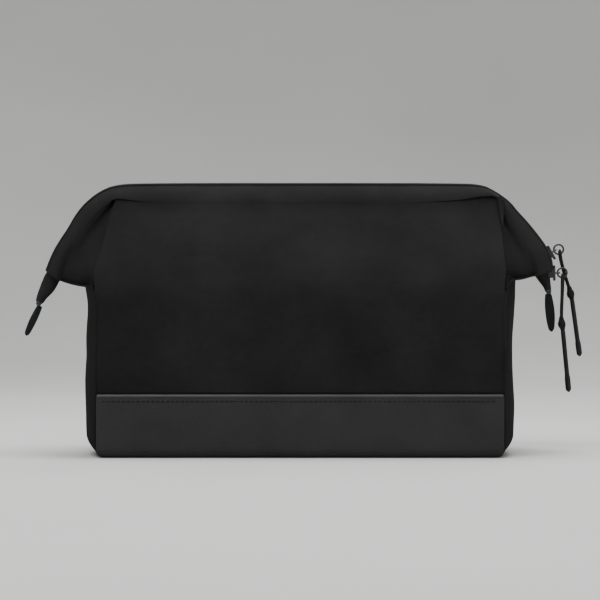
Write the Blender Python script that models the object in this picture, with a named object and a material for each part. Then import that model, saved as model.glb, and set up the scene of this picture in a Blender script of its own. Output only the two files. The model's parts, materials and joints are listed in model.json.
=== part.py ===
"""Wash bag with a zip mouth held by two hinged wire frames.

Canvas body, leather base, cloth lining. +X runs along the bag, +Z is up and -Y is the front. The origin lies
at the middle of the underside. Each soft wall is a thin closed solid.
"""
from math import cos, pi, radians, sin

import bpy
import bmesh
from mathutils import Vector

# Driving dimensions, in metres.
BODY_HALF_WIDTH = 0.1235      # middle to the seam between panel and gusset
BODY_HALF_DEPTH = 0.0625
BAND_HEIGHT = 0.038
TOP_HEIGHT = 0.1680           # middle of the zip tape
CANVAS = 0.0012
LEATHER = 0.0016
LINING = 0.0007
GAP = 0.0004

FOLD = (-0.0555, 0.1010)      # Y and Z of the fold line across the front panel
SEAM = (-0.0135, 0.1560)      # Y and Z of the seam between panel and strip
HINGE = (0.0, 0.1175)         # Y and Z of the pins that join the two wire frames
PIN_X = 0.1535
PIN_RADIUS = 0.0009
WIRE_RADIUS = 0.0010
EYE_RADIUS = 0.0046
EYE_SPACING = 0.0034          # between the eyes of the two frames, along X

STRIP_DROP = 0.0120           # width of the cloth strip under the zip
TAPE_EDGE = 0.0088            # Y of the zip tape's outer edge
COIL_RADIUS = 0.0011
CORD_RADIUS = 0.0010
SLEEVE_RADIUS = 0.0016
KNOT_RADIUS = 0.0024
RING_WIRE = 0.0006
RING_RADIUS = 0.0031
UPPER_TILT = radians(30)      # lean of each slider from upright
LOWER_TILT = radians(2)

# Outer edge of the mouth, from the middle of the top bar to the right end: X and Z.
MOUTH = [(0.0, 0.1680), (0.038, 0.1680), (0.076, 0.1680), (0.106, 0.1678), (0.1165, 0.1662), (0.1255, 0.1618),
         (0.1335, 0.1545), (0.1420, 0.1448), (0.1500, 0.1345), (0.1560, 0.1250), (0.1585, 0.1180)]

# Routes of the two doubled cords, from the knot up through the ring and back. The upper one hangs behind the lower.
UPPER_LOOP = [(0.1706, 0.0040, 0.1035), (0.1692, 0.0046, 0.1080), (0.1676, 0.0046, 0.1130), (0.1665, 0.0036, 0.1168),
              (0.1656, 0.0018, 0.1196), (0.1648, -0.0006, 0.1222), (0.1643, -0.0019, 0.1247), (0.1641, -0.0012, 0.1265),
              (0.1641, 0.0, 0.1271), (0.1641, 0.0012, 0.1265), (0.1643, 0.0020, 0.1247), (0.1648, 0.0032, 0.1222),
              (0.1656, 0.0050, 0.1196), (0.1665, 0.0064, 0.1168), (0.1676, 0.0069, 0.1130), (0.1692, 0.0068, 0.1080),
              (0.1706, 0.0062, 0.1035)]
LOWER_LOOP = [(0.1647, -0.0053, 0.0845), (0.1649, -0.0054, 0.0930), (0.1653, -0.0052, 0.1010), (0.1657, -0.0036, 0.1060),
              (0.1659, -0.0020, 0.1093), (0.1660, -0.0012, 0.1114), (0.1660, 0.0, 0.1121), (0.1660, 0.0012, 0.1114),
              (0.1659, 0.0019, 0.1093), (0.1657, 0.0010, 0.1062), (0.1654, -0.0016, 0.1020), (0.1651, -0.0030, 0.0970),
              (0.1648, -0.0032, 0.0900), (0.1647, -0.0031, 0.0845)]


def clear_scene():
    for old in list(bpy.data.objects):
        bpy.data.objects.remove(old, do_unlink=True)


def make_material(name, colour, roughness, metallic=0.0):
    material = bpy.data.materials.new(name)
    material.use_nodes = True
    shader = material.node_tree.nodes["Principled BSDF"]
    shader.inputs["Base Color"].default_value = (*colour, 1.0)
    shader.inputs["Roughness"].default_value = roughness
    shader.inputs["Metallic"].default_value = metallic
    return material


def place(name, data, material, pivot):
    """Link one object with its origin at pivot; data holds world coordinates."""
    thing = bpy.data.objects.new(name, data)
    data.materials.append(material)
    bpy.context.collection.objects.link(thing)
    thing.location = pivot
    return thing


def mesh_object(name, points, faces, material, pivot=(0, 0, 0)):
    mesh = bpy.data.meshes.new(name)
    mesh.from_pydata([Vector(p) - Vector(pivot) for p in points], [], faces)
    shape = bmesh.new()
    shape.from_mesh(mesh)
    bmesh.ops.recalc_face_normals(shape, faces=shape.faces)
    shape.to_mesh(mesh)
    shape.free()
    return place(name, mesh, material, pivot)


def sheet(name, rows, thickness, material, pivot=(0, 0, 0)):
    """A thin closed solid whose middle surface passes through a grid of points."""
    grid = [[Vector(p) for p in row] for row in rows]
    tall, wide = len(grid), len(grid[0])
    skins = ([], [])
    for i in range(tall):
        for j in range(wide):
            along = grid[min(i + 1, tall - 1)][j] - grid[max(i - 1, 0)][j]
            across = grid[i][min(j + 1, wide - 1)] - grid[i][max(j - 1, 0)]
            normal = along.cross(across).normalized() * thickness / 2
            skins[0].append(grid[i][j] + normal)
            skins[1].append(grid[i][j] - normal)
    count = tall * wide
    faces = []
    for i in range(tall - 1):
        for j in range(wide - 1):
            a, b = i * wide + j, (i + 1) * wide + j
            faces += [(a, a + 1, b + 1, b), (count + a, count + b, count + b + 1, count + a + 1)]
    rim = [j for j in range(wide)] + [i * wide + wide - 1 for i in range(1, tall)]
    rim += [(tall - 1) * wide + j for j in range(wide - 2, -1, -1)] + [i * wide for i in range(tall - 2, 0, -1)]
    for a, b in zip(rim, rim[1:] + rim[:1]):
        faces.append((a, count + a, count + b, b))
    return mesh_object(name, skins[0] + skins[1], faces, material, pivot)


def rod(name, route, radius, material, pivot=(0, 0, 0), closed=False, sides=2):
    curve = bpy.data.curves.new(name, "CURVE")
    curve.dimensions = "3D"
    curve.bevel_depth = radius
    curve.bevel_resolution = sides
    curve.use_fill_caps = not closed
    spline = curve.splines.new("POLY")
    spline.points.add(len(route) - 1)
    for point, where in zip(spline.points, route):
        point.co = (*(Vector(where) - Vector(pivot)), 1.0)
    spline.use_cyclic_u = closed
    return place(name, curve, material, pivot)


def smooth_route(points, step):
    """Points about step apart on a smooth curve through the given points."""
    knots = [Vector(p) for p in points]
    knots = [2 * knots[0] - knots[1]] + knots + [2 * knots[-1] - knots[-2]]
    route = []
    for a, b, c, d in zip(knots, knots[1:], knots[2:], knots[3:]):
        count = max(1, round((c - b).length / step))
        for k in range(count):
            t = k / count
            route.append(0.5 * (2 * b + (c - a) * t + (2 * a - 5 * b + 4 * c - d) * t ** 2
                                + (3 * b - a - 3 * c + d) * t ** 3))
    return route + [knots[-2]]


def ring(name, centre, radius, wire, material, normal, pivot):
    """A round link whose flat side faces along normal."""
    first = Vector(normal).orthogonal().normalized()
    second = Vector(normal).cross(first).normalized()
    turns = 16
    route = [Vector(centre) + radius * (cos(2 * pi * k / turns) * first + sin(2 * pi * k / turns) * second)
             for k in range(turns)]
    return rod(name, route, wire, material, pivot, closed=True, sides=1)


def turned(name, profile, start, direction, material, pivot, sides=12):
    """A closed solid turned about a line; profile holds (distance along the line, radius) with no end points."""
    axis = Vector(direction).normalized()
    first = axis.orthogonal().normalized()
    second = axis.cross(first)
    points, faces = [], []
    for along, radius in profile:
        for k in range(sides):
            turn = 2 * pi * k / sides
            points.append(Vector(start) + axis * along + radius * (cos(turn) * first + sin(turn) * second))
    for i in range(len(profile) - 1):
        for k in range(sides):
            a, b = i * sides + k, i * sides + (k + 1) % sides
            faces.append((a, b, b + sides, a + sides))
    last = (len(profile) - 1) * sides
    faces += [tuple(range(sides)), tuple(range(last, last + sides))]
    return mesh_object(name, points, faces, material, pivot)


def block(name, low, high, material, pivot=(0, 0, 0), bevel=0.0):
    """A box with bevelled edges."""
    (x0, y0, z0), (x1, y1, z1) = low, high
    points = [(x, y, z) for z in (z0, z1) for y in (y0, y1) for x in (x0, x1)]
    faces = [(0, 1, 3, 2), (4, 5, 7, 6), (0, 1, 5, 4), (2, 3, 7, 6), (0, 2, 6, 4), (1, 3, 7, 5)]
    thing = mesh_object(name, points, faces, material, pivot)
    if bevel:
        edges = thing.modifiers.new("Bevel", "BEVEL")
        edges.width = bevel
        edges.segments = 2
    return thing


def front_profile(z, inset=0.0):
    """Y of the canvas front wall's middle surface at a height, moved inwards by inset."""
    stations = [(0.0, -0.0600), (0.060, -0.0595), (0.080, -0.0580), FOLD[::-1], SEAM[::-1]]
    for (z0, y0), (z1, y1) in zip(stations, stations[1:]):
        if z <= z1:
            return y0 + (y1 - y0) * (z - z0) / (z1 - z0) + inset
    return SEAM[0] + inset


def half_width(z):
    """Distance from the middle to the side seam at a height."""
    if z <= FOLD[1]:
        return BODY_HALF_WIDTH
    return BODY_HALF_WIDTH - 0.0110 * (z - FOLD[1]) / (SEAM[1] - FOLD[1])


def wall_rows(heights, inset, side, trim=0.0):
    """Grid of a front or back wall: side is -1 at the front and 1 at the back."""
    across = [k / 4 for k in range(-4, 5)]
    return [[(u * (half_width(z) - trim), -side * front_profile(z, inset), z) for u in across] for z in heights]


def leather_base(material):
    """One trough-shaped piece: front band, bottom and back band, with round lower corners."""
    radius, face = 0.0045, BODY_HALF_DEPTH - LEATHER / 2
    low = LEATHER / 2
    line = [(-face, BAND_HEIGHT), (-face, 0.020), (-face, low + radius)]
    line += [(-face + radius * (1 - cos(radians(a))), low + radius * (1 - sin(radians(a)))) for a in (30, 60, 90)]
    line += [(0.0, low)]
    line += [(-y, z) for y, z in line[-2::-1]]
    rows = [[(x, y, z) for x in (-BODY_HALF_WIDTH, 0.0, BODY_HALF_WIDTH)] for y, z in line]
    return sheet("leather_base", rows, LEATHER, material)


def body_walls(canvas, lining, board):
    block("base_board", (-0.119, -0.055, LEATHER + GAP), (0.119, 0.055, LEATHER + GAP + 0.0015), board)
    floor = LEATHER + 2 * GAP + 0.0015
    block("lining_bottom", (-0.121, -0.0565, floor), (0.121, 0.0565, floor + LINING), lining)
    low = [0.012, 0.038, 0.060, 0.080, FOLD[1] - 0.0006]
    high = [FOLD[1] + 0.0006, 0.1145, 0.128, 0.142, SEAM[1] - 0.0010]
    inside = CANVAS / 2 + GAP + LINING / 2
    for side, word in ((-1, "front"), (1, "back")):
        pivot = (0, -side * FOLD[0], FOLD[1])
        sheet(f"{word}_panel_lower", wall_rows(low, 0.0, side), CANVAS, canvas)
        sheet(f"{word}_panel_upper", wall_rows(high, 0.0, side), CANVAS, canvas, pivot)
        sheet(f"lining_{word}", wall_rows([0.007] + low[1:], inside, side, 0.002), LINING, lining)
        upper = [z + 0.0004 for z in high[:-1]] + [high[-1] - 0.003]
        sheet(f"lining_{word}_upper", wall_rows(upper, inside + 0.0004, side, 0.006), LINING, lining, pivot)


def gusset_rows(side, x_edge, bulge, half_depth, low, high):
    rows = []
    for i in range(6):
        z = low + (high - low) * i / 5
        depth = half_depth - 0.0045 * max(0.0, (z - 0.055) / 0.045)
        if i == 0:
            depth -= 0.004
        row = []
        for j in range(7):
            u = j / 3 - 1
            swell = bulge * (1 - u * u) * (0.35 + 0.65 * sin(pi * min(1.0, z / 0.110)))
            row.append((side * (x_edge + swell), u * depth, z))
        rows.append(row)
    return rows


def gussets(canvas, lining, piping):
    for side, word in ((-1, "left"), (1, "right")):
        top = FOLD[1] - 0.0012
        sheet(f"{word}_gusset", gusset_rows(side, BODY_HALF_WIDTH + 0.0028, 0.0028, 0.0590, 0.0006, top),
              CANVAS, canvas)
        sheet(f"lining_{word}", gusset_rows(side, BODY_HALF_WIDTH + 0.0008, 0.0028, 0.0560, 0.0040, top),
              LINING, lining)
        for front, face in ((-1, "front"), (1, "back")):
            x = side * (BODY_HALF_WIDTH + 0.0016)
            route = [(x, -front * (front_profile(z) - 0.0012), z) for z in (0.0065, 0.025, 0.045, 0.060, 0.080, top)]
            rod(f"{word}_{face}_seam_edge", route, 0.0009, piping)
        shelf = []
        for i in range(5):
            t = i / 4
            wide = 0.0500 * (1 - t) + 0.0018 * t
            x = side * (BODY_HALF_WIDTH + 0.0035 + t * 0.0210)
            shelf.append([(x, u * wide, FOLD[1] + 0.0002 + 0.0050 * t) for u in (-1, -0.5, 0, 0.5, 1)])
        sheet(f"{word}_gusset_shelf", shelf, CANVAS, canvas)


def outline(inset, first=0, last=None):
    """Right half of the mouth's outer edge, moved inwards by inset."""
    stations = MOUTH[first:last]
    moved = []
    for k, (x, z) in enumerate(stations):
        x0, z0 = stations[max(k - 1, 0)]
        x1, z1 = stations[min(k + 1, len(stations) - 1)]
        along = Vector((x1 - x0, z1 - z0)).normalized()
        moved.append((x + along.y * inset, z - along.x * inset))
    return moved


def mouth_y(z, at_top, at_end):
    """Y that closes from its value on the top bar to its value at the hinge."""
    t = min(1.0, max(0.0, (TOP_HEIGHT - z) / (TOP_HEIGHT - HINGE[1])))
    return at_top + (at_end - at_top) * t


def both_ends(right):
    """The whole left-to-right line from its right half."""
    return [(-x, z) for x, z in right[:0:-1]] + right


def wire_route(side):
    """Wire of one frame with an open eye round each pin; side is -1 at the front."""
    leg = outline(0.0052, 1, 9)
    eye_x = PIN_X - side * EYE_SPACING / 2 * -1
    eye = [(eye_x, side * EYE_RADIUS * cos(radians(a)), HINGE[1] - EYE_RADIUS * sin(radians(a)))
           for a in range(0, 271, 30)]
    drop = [(eye_x - 0.0006, side * EYE_RADIUS, HINGE[1] + 0.0060)]
    right = [(x, side * -mouth_y(z, -0.0080, -0.0052), z) for x, z in leg] + drop + eye
    left = [(-x, y, z) for x, y, z in right]
    return left[::-1] + right


def mouth_frame(side, word, canvas, zip_cloth, coil, steel):
    """Wire, cloth strip, zip tape and zip coil of one frame."""
    pivot = (0, -side * SEAM[0], SEAM[1])
    rod(f"{word}_wire_frame", wire_route(side), WIRE_RADIUS, steel, pivot, sides=1)

    def strip_rows(outer, inner, mirror):
        rows = []
        for (xo, zo), (xi, zi) in zip(outer, inner):
            top, low = mouth_y(zo, -0.0101, -0.0098), mouth_y(zo, -0.0137, -0.0108)
            rows.append([(mirror * xo, -side * top, zo), (mirror * xi, -side * low, zi)])
        return rows

    bar_top = [(x, TOP_HEIGHT - 0.0003) for x in (-0.112, -0.056, 0.0, 0.056, 0.112)]
    bar_low = [(x * 0.995, TOP_HEIGHT - STRIP_DROP) for x, _ in bar_top]
    sheet(f"{word}_strip_bar", strip_rows(bar_top, bar_low, 1), CANVAS, canvas, pivot)
    for mirror, end in ((-1, "left"), (1, "right")):
        outer, inner = outline(0.0003, 4), outline(0.0110, 4)
        sheet(f"{word}_strip_{end}", strip_rows(outer, inner, mirror), CANVAS, canvas, pivot)
    path = both_ends(outline(0.0))
    tape = [[(x, -side * mouth_y(z, -TAPE_EDGE, -0.0060), z), (x, side * 0.0029, z)] for x, z in path]
    sheet(f"{word}_zip_tape", tape, 0.0006, zip_cloth, pivot)
    line = [(x, side * (COIL_RADIUS + 0.0003), z) for x, z in path[1:-1]]
    rod(f"{word}_zip_coil", line, COIL_RADIUS, coil, pivot, sides=1)


def wings(side, word, canvas):
    """The cloth between panel and strip leg at each end of one side."""
    pivot = (0, -side * FOLD[0], FOLD[1])
    for mirror, end in ((-1, "left"), (1, "right")):
        rows = []
        for i in range(6):
            t = i / 5
            z = 0.1050 + 0.0470 * t
            x_in = half_width(z) + 0.0018
            x_out = 0.1445 - 0.0225 * t
            y_in = front_profile(z) + 0.0010
            y_out = -0.0135 - 0.0010 * t
            rows.append([(mirror * (x_in + (x_out - x_in) * u), -side * (y_in + (y_out - y_in) * u), z)
                         for u in (0.0, 0.5, 1.0)])
        sheet(f"{word}_{end}_wing", rows, 0.0008, canvas, pivot)


def hinge_ends(steel, zip_cloth, coil, leather):
    """Pins, joined zip ends, end stops and leather tabs."""
    for side, word, stop_x, stop_z in ((-1, "left", 0.1652, 0.0925), (1, "right", 0.1570, 0.1000)):
        rod(f"{word}_hinge_pin", [(side * (PIN_X - 0.0038), 0, HINGE[1]), (side * (PIN_X + 0.0031), 0, HINGE[1])],
            PIN_RADIUS, steel)
        top_x, top_z = 0.1553, 0.1075
        low_z = stop_z + 0.0032
        rows = []
        for i in range(4):
            t = i / 3
            centre = top_x + (stop_x - top_x) * t
            half = 0.0030 - 0.0012 * t
            rows.append([(side * (centre - half), 0, top_z + (low_z - top_z) * t),
                         (side * (centre + half), 0, top_z + (low_z - top_z) * t)])
        sheet(f"{word}_zip_end", rows, 0.0030, zip_cloth)
        block(f"{word}_end_stop", (side * stop_x - 0.0022, -0.0022, stop_z),
              (side * stop_x + 0.0022, 0.0022, stop_z + 0.0026), steel, bevel=0.0004)
        end_tab(word, Vector((side * stop_x, 0, stop_z - 0.0016)), side, leather)


def end_tab(word, start, side, leather):
    """A leather tab folded over the zip end: narrow at both ends, on its own pivot."""
    along = Vector((0.09, 0, -1)) if side > 0 else Vector((-0.47, 0, -1))
    along = along.normalized()
    across = Vector((-along.z, 0, along.x))
    length = 0.0225 if side > 0 else 0.0190
    rows = []
    for i in range(7):
        t = i / 6
        half = 0.0016 + 0.0014 * sin(pi * min(1.0, t * 1.02)) - 0.0008 * max(0.0, t - 0.8) / 0.2
        middle = start + along * (length * t)
        rows.append([middle - across * half, middle + across * half])
    sheet(f"{word}_end_tab", rows, 0.0026, leather, start)


def slider(word, centre, tilt, steel):
    """Slider plate on the outer side of the coil, with a bail for the pull; returns the bail's eye."""
    along = Vector((sin(tilt), 0, -cos(tilt)))
    out = Vector((cos(tilt), 0, sin(tilt)))

    def box(name, reach, half_y, low, high):
        points = [along * a + out * o + Vector((0, y, 0)) for o in (low, high)
                  for y in (-half_y, half_y) for a in (-reach, reach)]
        faces = [(0, 1, 3, 2), (4, 5, 7, 6), (0, 1, 5, 4), (2, 3, 7, 6), (0, 2, 6, 4), (1, 3, 7, 5)]
        shape = mesh_object(name, points, faces, steel)
        shape.location = centre
        return shape

    body = box(f"{word}_slider", 0.0048, 0.0034, 0.0, 0.0017)
    arch = box(f"{word}_slider_arch", 0.0008, 0.0022, 0.0010, 0.0048)
    hole = box(f"{word}_slider_hole", 0.0030, 0.0011, 0.0020, 0.0039)
    for helper, action in ((arch, "UNION"), (hole, "DIFFERENCE")):
        helper.hide_render = True
        helper.display_type = "WIRE"
        cut = body.modifiers.new(action.title(), "BOOLEAN")
        cut.operation = action
        cut.object = helper
    return Vector(centre) + out * 0.00295


def pull(word, top, knot, tip, loop_route, cord_cloth, leather):
    """Doubled cord, knot and sleeve hanging from a ring."""
    down = (Vector(tip) - Vector(knot)).normalized()
    rod(f"{word}_pull_cord", smooth_route(loop_route, 0.0020), CORD_RADIUS, cord_cloth, top)
    turned(f"{word}_pull_knot", [(0.0, 0.0010), (0.0008, 0.0020), (0.0020, KNOT_RADIUS), (0.0034, KNOT_RADIUS),
                                 (0.0046, 0.0020), (0.0054, 0.0010)], knot, down, cord_cloth, top)
    start = Vector(knot) + down * 0.0058
    length = (Vector(tip) - start).length
    turned(f"{word}_pull_sleeve", [(0.0, 0.0012), (0.0010, SLEEVE_RADIUS), (length - 0.0100, SLEEVE_RADIUS),
                                   (length - 0.0060, 0.0019), (length - 0.0015, 0.0019), (length, 0.0010)],
           start, down, leather, top)


def pulls(steel, cord_cloth, leather):
    """Upper and lower slider, each with a ring and a cord pull."""
    eyes = []
    for word, centre, tilt, droop in (("upper", (0.1579, 0, 0.1255), UPPER_TILT, radians(11)),
                                      ("lower", (0.1596, 0, 0.1130), LOWER_TILT, 0.0)):
        eye = slider(word, Vector(centre), tilt, steel)
        out = Vector((cos(tilt - droop), 0, sin(tilt - droop)))
        ring(f"{word}_ring", eye + out * RING_RADIUS, RING_RADIUS, RING_WIRE, steel, (0, 1, 0), eye)
        eyes.append(eye)
    pull("upper", eyes[0], (0.1711, 0.0051, 0.1025), (0.1774, 0.0048, 0.0600), UPPER_LOOP, cord_cloth, leather)
    pull("lower", eyes[1], (0.1647, -0.0042, 0.0835), (0.1694, -0.0040, 0.0376), LOWER_LOOP, cord_cloth, leather)


def main():
    clear_scene()
    canvas = make_material("canvas", (0.020, 0.020, 0.021), 0.85)
    lining = make_material("lining", (0.060, 0.062, 0.066), 0.75)
    leather = make_material("leather", (0.026, 0.026, 0.027), 0.55)
    board = make_material("board", (0.12, 0.11, 0.10), 0.8)
    zip_cloth = make_material("zip_cloth", (0.018, 0.018, 0.019), 0.8)
    coil = make_material("zip_coil", (0.030, 0.030, 0.032), 0.35)
    steel = make_material("steel", (0.10, 0.10, 0.11), 0.35, 1.0)
    cord_cloth = make_material("cord", (0.015, 0.015, 0.016), 0.8)

    leather_base(leather)
    body_walls(canvas, lining, board)
    gussets(canvas, lining, canvas)
    for side, word in ((-1, "front"), (1, "back")):
        mouth_frame(side, word, canvas, zip_cloth, coil, steel)
        wings(side, word, canvas)
    hinge_ends(steel, zip_cloth, coil, leather)
    pulls(steel, cord_cloth, leather)


main()
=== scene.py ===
"""Looks of the zip-mouth wash bag: canvas, leather, lining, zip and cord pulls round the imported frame.

Everything is in metres. X runs left to right, Y front to back and Z up, with the floor at 0.
In loops over the two faces, -1 is the front and 1 the back. In loops over the two ends, -1 is the left.
"""
import json
from math import cos, pi, radians, sin, tau

import bmesh
import bpy
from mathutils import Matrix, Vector, noise


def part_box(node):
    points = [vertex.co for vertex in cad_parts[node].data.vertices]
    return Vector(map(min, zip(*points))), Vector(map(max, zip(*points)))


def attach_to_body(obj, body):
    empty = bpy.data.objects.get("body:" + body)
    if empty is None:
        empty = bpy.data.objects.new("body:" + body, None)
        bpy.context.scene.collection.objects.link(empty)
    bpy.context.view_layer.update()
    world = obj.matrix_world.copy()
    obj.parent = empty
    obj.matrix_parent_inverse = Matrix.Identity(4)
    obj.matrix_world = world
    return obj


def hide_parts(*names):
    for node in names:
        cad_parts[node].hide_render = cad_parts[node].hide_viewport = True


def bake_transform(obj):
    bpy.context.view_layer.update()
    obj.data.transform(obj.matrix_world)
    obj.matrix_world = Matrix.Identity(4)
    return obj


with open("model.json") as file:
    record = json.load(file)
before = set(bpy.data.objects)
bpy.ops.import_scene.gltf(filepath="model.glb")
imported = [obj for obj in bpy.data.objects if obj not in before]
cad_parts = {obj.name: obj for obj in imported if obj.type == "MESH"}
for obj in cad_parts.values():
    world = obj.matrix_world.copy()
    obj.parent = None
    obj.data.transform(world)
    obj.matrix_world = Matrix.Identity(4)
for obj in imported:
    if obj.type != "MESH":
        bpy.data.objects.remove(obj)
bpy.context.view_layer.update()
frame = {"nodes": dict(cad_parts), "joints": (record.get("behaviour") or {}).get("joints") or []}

# Places taken from the frame.
JOINTS = {joint["name"]: joint for joint in frame["joints"]}
FOLD_Y, FOLD_Z = JOINTS["front_panel_fold"]["pos_m"][1:]       # fold line across the front panel
SEAM_Y, SEAM_Z = JOINTS["front_frame_tilt"]["pos_m"][1:]       # seam between panel and strip
BASE_LOW, BASE_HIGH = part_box("leather_base")
HALF = BASE_HIGH[0]                                            # middle to side seam
BAND_TOP = BASE_HIGH[2]                                        # upper edge of the leather band
BAND_Y = BASE_LOW[1]                                           # front face of the leather band

# Thicknesses.
CANVAS = 0.0011
LINING = 0.0005
WING_CLOTH = 0.0009
LEATHER = 0.0016

# Thread pitches of the cloths.
CANVAS_PITCH = 0.00062
LINING_PITCH = 0.00030
TAPE_PITCH = 0.00045

# Mouth outline as X and Z, left to right: outer edge at the zip, and inner edge of the strip.
OUTER = [(-0.1598, 0.1143), (-0.1572, 0.1210), (-0.1541, 0.1276), (-0.1500, 0.1342), (-0.1459, 0.1402),
         (-0.1402, 0.1496), (-0.1339, 0.1570), (-0.1244, 0.1640), (-0.1130, 0.1676), (-0.0900, 0.1684),
         (-0.0450, 0.1686), (0.0, 0.1686), (0.0450, 0.1686), (0.0900, 0.1684), (0.1120, 0.1676),
         (0.1215, 0.1640), (0.1309, 0.1575), (0.1349, 0.1528), (0.1425, 0.1446), (0.1507, 0.1345),
         (0.1557, 0.1270), (0.1580, 0.1210), (0.1587, 0.1150)]
INNER = [(-0.1512, 0.1085), (-0.1500, 0.1150), (-0.1478, 0.1220), (-0.1443, 0.1290), (-0.1400, 0.1352),
         (-0.1345, 0.1430), (-0.1280, 0.1505), (-0.1205, 0.1572), (-0.1140, 0.1602), (-0.0950, 0.1584),
         (-0.0500, 0.1572), (0.0, 0.1570), (0.0500, 0.1572), (0.0950, 0.1592), (0.1150, 0.1618),
         (0.1232, 0.1608), (0.1262, 0.1548), (0.1300, 0.1478), (0.1355, 0.1390), (0.1415, 0.1292),
         (0.1458, 0.1215), (0.1480, 0.1160), (0.1484, 0.1115)]


# ---------------------------------------------------------------- materials

def new_material(name, colour, roughness, metallic=0.0, sheen=0.0, specular=0.5):
    """A material with one Principled shader: returns the material, its node tree and the shader."""
    material = bpy.data.materials.new(name)
    material.use_nodes = True
    shader = material.node_tree.nodes["Principled BSDF"]
    shader.inputs["Base Color"].default_value = (*colour, 1)
    shader.inputs["Roughness"].default_value = roughness
    shader.inputs["Metallic"].default_value = metallic
    shader.inputs["Sheen Weight"].default_value = sheen
    shader.inputs["Sheen Roughness"].default_value = 0.5
    shader.inputs["Specular IOR Level"].default_value = specular
    return material, material.node_tree, shader


def add(tree, kind, **values):
    """A new node with its sockets and properties set."""
    node = tree.nodes.new(kind)
    for key, value in values.items():
        if key in node.inputs:
            node.inputs[key].default_value = value
        else:
            setattr(node, key, value)
    return node


def maths(tree, operation, first, second):
    """A maths node on two sockets or numbers."""
    node = tree.nodes.new("ShaderNodeMath")
    node.operation = operation
    for socket, value in zip(node.inputs, (first, second)):
        if hasattr(value, "links"):
            tree.links.new(value, socket)
        else:
            socket.default_value = value
    return node.outputs[0]


def bump(tree, shader, height, distance, strength=1.0):
    node = add(tree, "ShaderNodeBump", Strength=strength, Distance=distance)
    tree.links.new(height, node.inputs["Height"])
    tree.links.new(node.outputs[0], shader.inputs["Normal"])


def blotches(tree, scale, detail=3.0):
    """Slow variation over the object, from 0 to 1."""
    place = add(tree, "ShaderNodeTexCoord")
    cloud = add(tree, "ShaderNodeTexNoise", Scale=scale, Detail=detail)
    tree.links.new(place.outputs["Object"], cloud.inputs["Vector"])
    return cloud.outputs["Fac"]


def tint(tree, shader, factor, dark, light, low=0.3, high=0.7):
    """Base colour that goes from dark to light as factor goes from low to high."""
    scale = add(tree, "ShaderNodeValToRGB")
    for stop, position, colour in zip(scale.color_ramp.elements, (low, high), (dark, light)):
        stop.position = position
        stop.color = (*colour, 1)
    tree.links.new(factor, scale.inputs[0])
    tree.links.new(scale.outputs[0], shader.inputs["Base Color"])


def roughen(tree, shader, factor, low, high):
    """Roughness that follows factor between two values."""
    span = add(tree, "ShaderNodeMapRange")
    span.inputs["To Min"].default_value = low
    span.inputs["To Max"].default_value = high
    tree.links.new(factor, span.inputs["Value"])
    tree.links.new(span.outputs[0], shader.inputs["Roughness"])


def woven(name, dark, light, pitch, depth, roughness, sheen=0.0, specular=0.5):
    """Plain-weave cloth: crossing threads laid out on the flat cloth, with slubs and blotches."""
    material, tree, shader = new_material(name, light, roughness, sheen=sheen, specular=specular)
    flat = add(tree, "ShaderNodeUVMap", uv_map="cloth")
    jitter = add(tree, "ShaderNodeTexNoise", Scale=220.0, Detail=2.0)
    tree.links.new(flat.outputs[0], jitter.inputs["Vector"])
    threads = []
    for direction in ("X", "Y"):
        wave = add(tree, "ShaderNodeTexWave", Scale=pi / 10 / pitch, Distortion=0.6, Detail=1.0)
        wave.bands_direction = direction
        tree.links.new(flat.outputs[0], wave.inputs["Vector"])
        threads.append(wave.outputs["Fac"])
    crossing = maths(tree, "MAXIMUM", threads[0], threads[1])
    slubs = maths(tree, "MULTIPLY", crossing, jitter.outputs["Fac"])
    bump(tree, shader, slubs, depth)
    mottled = maths(tree, "ADD", maths(tree, "MULTIPLY", slubs, 0.45),
                    maths(tree, "MULTIPLY", blotches(tree, 26.0, 5.0), 0.75))
    tint(tree, shader, mottled, dark, light, 0.35, 0.85)
    roughen(tree, shader, jitter.outputs["Fac"], roughness - 0.08, roughness + 0.08)
    return material


def hide(name, dark, light, grain, depth, roughness, specular):
    """Grained leather: small pebbles, pores and slow colour change."""
    material, tree, shader = new_material(name, light, roughness, specular=specular)
    place = add(tree, "ShaderNodeTexCoord")
    pebbles = add(tree, "ShaderNodeTexVoronoi", Scale=grain)
    fine = add(tree, "ShaderNodeTexNoise", Scale=grain * 2.2, Detail=4.0)
    for node in (pebbles, fine):
        tree.links.new(place.outputs["Object"], node.inputs["Vector"])
    pores = maths(tree, "MULTIPLY", fine.outputs["Fac"], 0.6)
    height = maths(tree, "ADD", pebbles.outputs["Distance"], pores)
    bump(tree, shader, height, depth)
    mottled = maths(tree, "ADD", blotches(tree, 34.0, 6.0), fine.outputs["Fac"])
    tint(tree, shader, maths(tree, "MULTIPLY", mottled, 0.5), dark, light)
    roughen(tree, shader, fine.outputs["Fac"], roughness - 0.1, roughness + 0.12)
    return material


def plated(name, colour, roughness):
    """Dull metal with a fine worn mottle."""
    material, tree, shader = new_material(name, colour, roughness, metallic=1.0)
    worn = blotches(tree, 900.0, 4.0)
    bump(tree, shader, worn, 0.00002, 0.5)
    tint(tree, shader, worn, [c * 0.7 for c in colour], [c * 1.3 for c in colour])
    roughen(tree, shader, worn, roughness - 0.1, roughness + 0.15)
    return material


def plastic(name, colour, roughness):
    """Moulded plastic with faint scuffs."""
    material, tree, shader = new_material(name, colour, roughness, specular=0.2)
    scuffs = blotches(tree, 500.0, 3.0)
    bump(tree, shader, scuffs, 0.00002, 0.4)
    tint(tree, shader, scuffs, [c * 0.8 for c in colour], [c * 1.2 for c in colour])
    return material


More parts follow.
